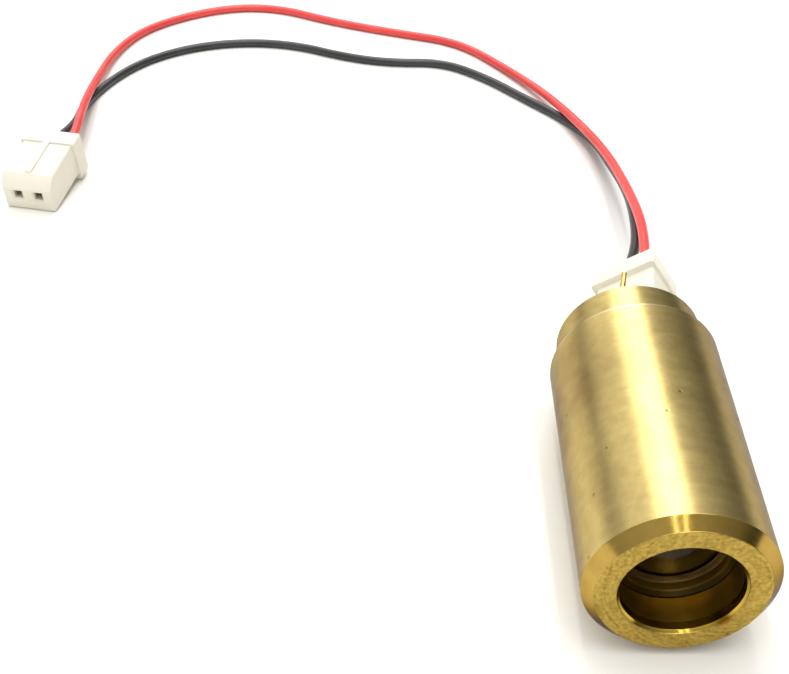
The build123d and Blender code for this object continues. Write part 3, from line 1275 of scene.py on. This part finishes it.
@dataclass
class DiodeCan:
    """Diode in the rear pocket: stem, cap, window, chip, sealed pins."""

    pins: tuple[str, ...] = ("diode_pin_drive", "diode_pin_case", "diode_pin_monitor")
    seals: tuple[str, ...] = ("seal_drive", "seal_monitor")
    pin_gold: Plating = Plating("pin_gold", Metal.GOLD)
    stem_gold: Plating = Plating("stem_gold", Metal.GOLD, roughness=0.36)
    cap_nickel: Plating = Plating("cap_nickel", Metal.NICKEL, roughness=0.36)
    window_glass: ClearGlass = ClearGlass("window_glass", tint=(0.93, 0.95, 0.95, 1.0), ior=1.52)
    seal_glass: ClearGlass = ClearGlass("seal_glass", tint=(0.22, 0.27, 0.26, 1.0))
    chip_ceramic: Ceramic = Ceramic()

    def build(self, shelf: FinishShelf) -> None:
        """Dress the can and its pins.

        Args:
            shelf: Where their finishes come from.
        """
        for pin in self.pins:
            dress_node(pin, shelf.take(self.pin_gold))
        dress_node("diode_stem", shelf.take(self.stem_gold))
        dress_node("diode_cap", shelf.take(self.cap_nickel))
        dress_node("diode_window", shelf.take(self.window_glass))
        dress_node("laser_chip", shelf.take(self.chip_ceramic))
        for seal in self.seals:
            dress_node(seal, shelf.take(self.seal_glass))


@dataclass
class CrimpPlug:
    """Two-way moulded plug with a crimp contact in each way."""

    place: str
    softness: float = 0.07 * MM
    soft_from_deg: float = 40.0
    soft_segments: int = 2
    sharp_deg: float = 35.0
    nylon: Nylon = Nylon()
    tin: Plating = Plating("contact_tin", Metal.TIN, roughness=0.36)
    contacts: dict[Way, bpy.types.Object] = field(default_factory=dict)
    housing: bpy.types.Object | None = None

    def softened(self, node: str, name: str) -> bpy.types.Mesh:
        """A copy of a node's mesh with welded faces and softly broken edges.

        Args:
            node: Name of the node.
            name: Name of the copy.

        Returns:
            A plain mesh.
        """
        work = bmesh.new()
        work.from_mesh(frame["nodes"][node].data)
        bmesh.ops.remove_doubles(work, verts=work.verts, dist=WELD)
        mesh = bpy.data.meshes.new(name)
        work.to_mesh(mesh)
        work.free()
        carrier = bpy.data.objects.new(name + "_raw", mesh)
        bpy.context.scene.collection.objects.link(carrier)
        bevel = carrier.modifiers.new("edges", "BEVEL")
        bevel.width = self.softness
        bevel.segments = self.soft_segments
        bevel.limit_method = "ANGLE"
        bevel.angle_limit = radians(self.soft_from_deg)
        bevel.harden_normals = False
        graph = bpy.context.evaluated_depsgraph_get()
        result = bpy.data.meshes.new_from_object(carrier.evaluated_get(graph))
        result.name = name
        bpy.data.objects.remove(carrier)
        bpy.data.meshes.remove(mesh)
        return result

    def build(self, shelf: FinishShelf) -> None:
        """Make the housing and dress the contacts.

        Args:
            shelf: Where their finishes come from.
        """
        node = f"{self.place}_plug_housing"
        name = f"{self.place}_plug_shell"
        mesh = self.softened(node, name)
        mesh.materials.clear()
        mesh.materials.append(shelf.take(self.nylon))
        self.housing = add_piece(name, smooth(mesh, self.sharp_deg), "white_nylon", node)
        for way in Way:
            self.contacts[way] = dress_node(f"{self.place}_contact_{way.value}", shelf.take(self.tin))


@dataclass
class Lead:
    """Insulated lead along its route, from the crimp in the rear plug to the crimp in the end plug."""

    way: Way
    insulation: Insulation
    route: list[Point3]
    leaves: Point3
    length: float
    diameter: float = 0.85 * MM
    steps: int = 16
    round_steps: int = 6

    def build(self, shelf: FinishShelf, plug: CrimpPlug, carried: list[bpy.types.Object]) -> None:
        """Args:
            shelf: Where its finish comes from.
            plug: The plug at its far end; not used.
            carried: Further pieces on it; not used.
        """
        name = f"lead_{self.way.value}_wire"
        curve = bpy.data.curves.new(name, "CURVE")
        curve.dimensions = "3D"
        spline = curve.splines.new("NURBS")
        spline.points.add(len(self.route) - 1)
        for point, (x, y, z) in zip(spline.points, self.route):
            point.co = (x, y, z, 1.0)
        spline.order_u = 3
        spline.use_endpoint_u = True
        curve.resolution_u = self.steps
        curve.bevel_depth = self.diameter / 2
        curve.bevel_resolution = self.round_steps
        curve.use_fill_caps = True
        curve.materials.append(shelf.take(self.insulation))
        obj = bpy.data.objects.new(name, curve)
        bpy.context.scene.collection.objects.link(obj)
        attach(obj, BODY)
        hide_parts(f"lead_{self.way.value}")
        log.info("laid %s over %d points", name, len(self.route))


# Red lead: its insulation, where it leaves the rear plug, its length and its route.
RED_INSULATION = Insulation(
    "red_insulation", light=(0.80, 0.075, 0.065, 1.0), dark=(0.68, 0.045, 0.04, 1.0)
)
RED_EXIT: Point3 = (0.002609, 0.021294, -0.000006)
RED_LENGTH = 0.1327
RED_ROUTE: list[Point3] = [
    (0.002243, 0.018872, -0.000006),
    (0.003058, 0.024261, -0.000006),
    (0.0037, 0.0304, -0.0008),
    (0.0036, 0.0378, -0.0021),
    (0.003, 0.0459, -0.0035),
    (0.0012, 0.0532, -0.00435),
    (-0.0014, 0.0606, -0.0051),
    (-0.0051, 0.0671, -0.0055),
    (-0.0101, 0.0737, -0.00555),
    (-0.0172, 0.0761, -0.00555),
    (-0.0246, 0.079, -0.00555),
    (-0.0319, 0.0831, -0.00555),
    (-0.0389, 0.0826, -0.00555),
    (-0.0462, 0.0777, -0.00555),
    (-0.049, 0.0713, -0.0054),
    (-0.0496, 0.0631, -0.00495),
    (-0.0491, 0.0553, -0.0034),
    (-0.048532, 0.047324, -0.003246),
    (-0.049273, 0.043837, -0.003747),
]

# Black lead, in the same order.
BLACK_INSULATION = Insulation(
    "black_insulation", light=(0.035, 0.035, 0.037, 1.0), dark=(0.018, 0.018, 0.020, 1.0)
)
BLACK_EXIT: Point3 = (0.000990, 0.021539, -0.001153)
BLACK_LENGTH = 0.1167
BLACK_ROUTE: list[Point3] = [
    (0.000623, 0.019117, -0.001153),
    (0.001072, 0.022083, -0.001153),
    (0.003, 0.0273, -0.0016),
    (0.0037, 0.0334, -0.0022),
    (0.0039, 0.0392, -0.0033),
    (0.0034, 0.0449, -0.0043),
    (0.0027, 0.0509, -0.0052),
    (0.0005, 0.0557, -0.00555),
    (-0.0035, 0.0603, -0.00555),
    (-0.0073, 0.0649, -0.00555),
    (-0.012, 0.0687, -0.00555),
    (-0.018, 0.0686, -0.00555),
    (-0.0232, 0.0701, -0.00555),
    (-0.0286, 0.0729, -0.00555),
    (-0.0345, 0.0737, -0.00555),
    (-0.0403, 0.0724, -0.00555),
    (-0.0452, 0.0691, -0.00555),
    (-0.0484, 0.0642, -0.00555),
    (-0.0502, 0.0584, -0.00555),
    (-0.0494, 0.0521, -0.0041),
    (-0.050611, 0.047159, -0.00333),
    (-0.051229, 0.044253, -0.003747),
]


@dataclass(frozen=True)
class Lamp:
    """Rectangular lamp, with its centre and its width and length in metres and its power in watts.

    It faces the point given as its aim, or straight down if none is given.
    """

    name: str
    at: Point3
    size: Point2
    power: float
    aim: Point3 | None = None

    def hang(self) -> None:
        """Put the lamp into the scene."""
        data = bpy.data.lights.new(self.name, "AREA")
        data.shape = "RECTANGLE"
        data.size, data.size_y = self.size
        data.energy = self.power
        lamp = bpy.data.objects.new(self.name, data)
        lamp.location = self.at
        if self.aim is not None:
            lamp.rotation_mode = "QUATERNION"
            lamp.rotation_quaternion = (Vector(self.aim) - Vector(self.at)).to_track_quat("-Z", "Y")
        bpy.context.scene.collection.objects.link(lamp)


TUBE_SIZE: Point2 = (0.035, 3.6)
MODULE_CENTRE: Point3 = (0.0, 0.0, 0.0)
LAMPS = (
    Lamp("tube_left", (-0.125, 0.1, 1.0), TUBE_SIZE, 4.0),
    Lamp("tube_right", (0.105, 0.1, 1.0), TUBE_SIZE, 4.0),
    Lamp("ceiling_panel", (-0.14, 1.25, 1.01), (0.75, 1.5), 9.0),
    Lamp("left_panel", (-0.72, 1.24, 0.72), (1.0, 0.9), 1.9, MODULE_CENTRE),
    Lamp("soft_box", (0.18, -0.05, 1.25), (1.0, 1.0), 7.6, MODULE_CENTRE),
)


@dataclass
class Studio:
    """Pale table, soft room, lamps and the camera."""

    table_z: float = -6.0 * MM
    table_size: float = 6.0
    table_top: TableTop = TableTop()
    lamps: tuple[Lamp, ...] = LAMPS
    eye: Point3 = (-16.86 * MM, -57.86 * MM, 57.95 * MM)
    azimuth_deg: float = -0.262
    elevation_deg: float = 39.137
    focal_px: float = 1240.055
    picture_px: float = 789.0
    sensor: float = 36.0
    clip: Point2 = (0.001, 50.0)
    room_level: float = 0.18
    room_slope: Point3 = (-0.24, -0.06, 0.70)
    room_least: float = 0.08

    def build_table(self, shelf: FinishShelf) -> None:
        """Lay the table.

        Args:
            shelf: Where its finish comes from.
        """
        half = self.table_size / 2
        corners = [(-half, -half), (half, -half), (half, half), (-half, half)]
        mesh = bpy.data.meshes.new("table")
        mesh.from_pydata([(x, y, self.table_z) for x, y in corners], [], [(0, 1, 2, 3)])
        mesh.materials.append(shelf.take(self.table_top))
        table = bpy.data.objects.new("table", mesh)
        bpy.context.scene.collection.objects.link(table)

    def build_world(self) -> None:
        """Wrap the scene in a soft room that is paler above and on the left."""
        world = bpy.data.worlds.new("room")
        bpy.context.scene.world = world
        world.use_nodes = True
        tree = world.node_tree
        coords = tree.nodes.new("ShaderNodeTexCoord")
        slope = tree.nodes.new("ShaderNodeVectorMath")
        slope.operation = "DOT_PRODUCT"
        slope.inputs[1].default_value = self.room_slope
        tree.links.new(coords.outputs["Generated"], slope.inputs[0])
        level = tree.nodes.new("ShaderNodeMath")
        level.operation = "ADD"
        level.inputs[1].default_value = self.room_level
        tree.links.new(slope.outputs["Value"], level.inputs[0])
        floor = tree.nodes.new("ShaderNodeMath")
        floor.operation = "MAXIMUM"
        floor.inputs[1].default_value = self.room_least
        tree.links.new(level.outputs[0], floor.inputs[0])
        tree.links.new(floor.outputs[0], tree.nodes["Background"].inputs["Color"])

    def build_camera(self) -> None:
        """Set the camera up where the picture was taken."""
        data = bpy.data.cameras.new("camera")
        data.sensor_width = self.sensor
        data.lens = self.focal_px / self.picture_px * self.sensor
        data.clip_start, data.clip_end = self.clip
        camera = bpy.data.objects.new("camera", data)
        across, down = radians(self.azimuth_deg), radians(self.elevation_deg)
        forward = Vector((sin(across) * cos(down), cos(across) * cos(down), -sin(down)))
        camera.location = self.eye
        camera.rotation_mode = "QUATERNION"
        camera.rotation_quaternion = forward.to_track_quat("-Z", "Y")
        bpy.context.scene.collection.objects.link(camera)
        bpy.context.scene.camera = camera

    def build(self, shelf: FinishShelf) -> None:
        """Set the whole studio up.

        Args:
            shelf: Where the table's finish comes from.
        """
        self.build_table(shelf)
        self.build_world()
        for lamp in self.lamps:
            lamp.hang()
        self.build_camera()
        bpy.context.scene.view_settings.view_transform = "Standard"
        log.info("set up the table, the room, %d lamps and the camera", len(self.lamps))


def main() -> None:
    """Build the module piece by piece and set it in the studio."""
    logging.basicConfig(level=logging.INFO, format="%(name)s: %(message)s")
    shelf = FinishShelf()
    lathe = Lathe()
    Barrel().build(lathe, shelf)
    LensStack().build(lathe, shelf)
    DiodeCan().build(shelf)
    rear_plug = CrimpPlug("rear")
    rear_plug.build(shelf)
    end_plug = CrimpPlug("end")
    end_plug.build(shelf)
    red_lead = Lead(Way.RED, RED_INSULATION, RED_ROUTE, RED_EXIT, RED_LENGTH)
    red_lead.build(shelf, end_plug, [end_plug.housing])
    black_lead = Lead(Way.BLACK, BLACK_INSULATION, BLACK_ROUTE, BLACK_EXIT, BLACK_LENGTH)
    black_lead.build(shelf, end_plug, [])
    Studio().build(shelf)


if __name__ == "__main__":
    main()
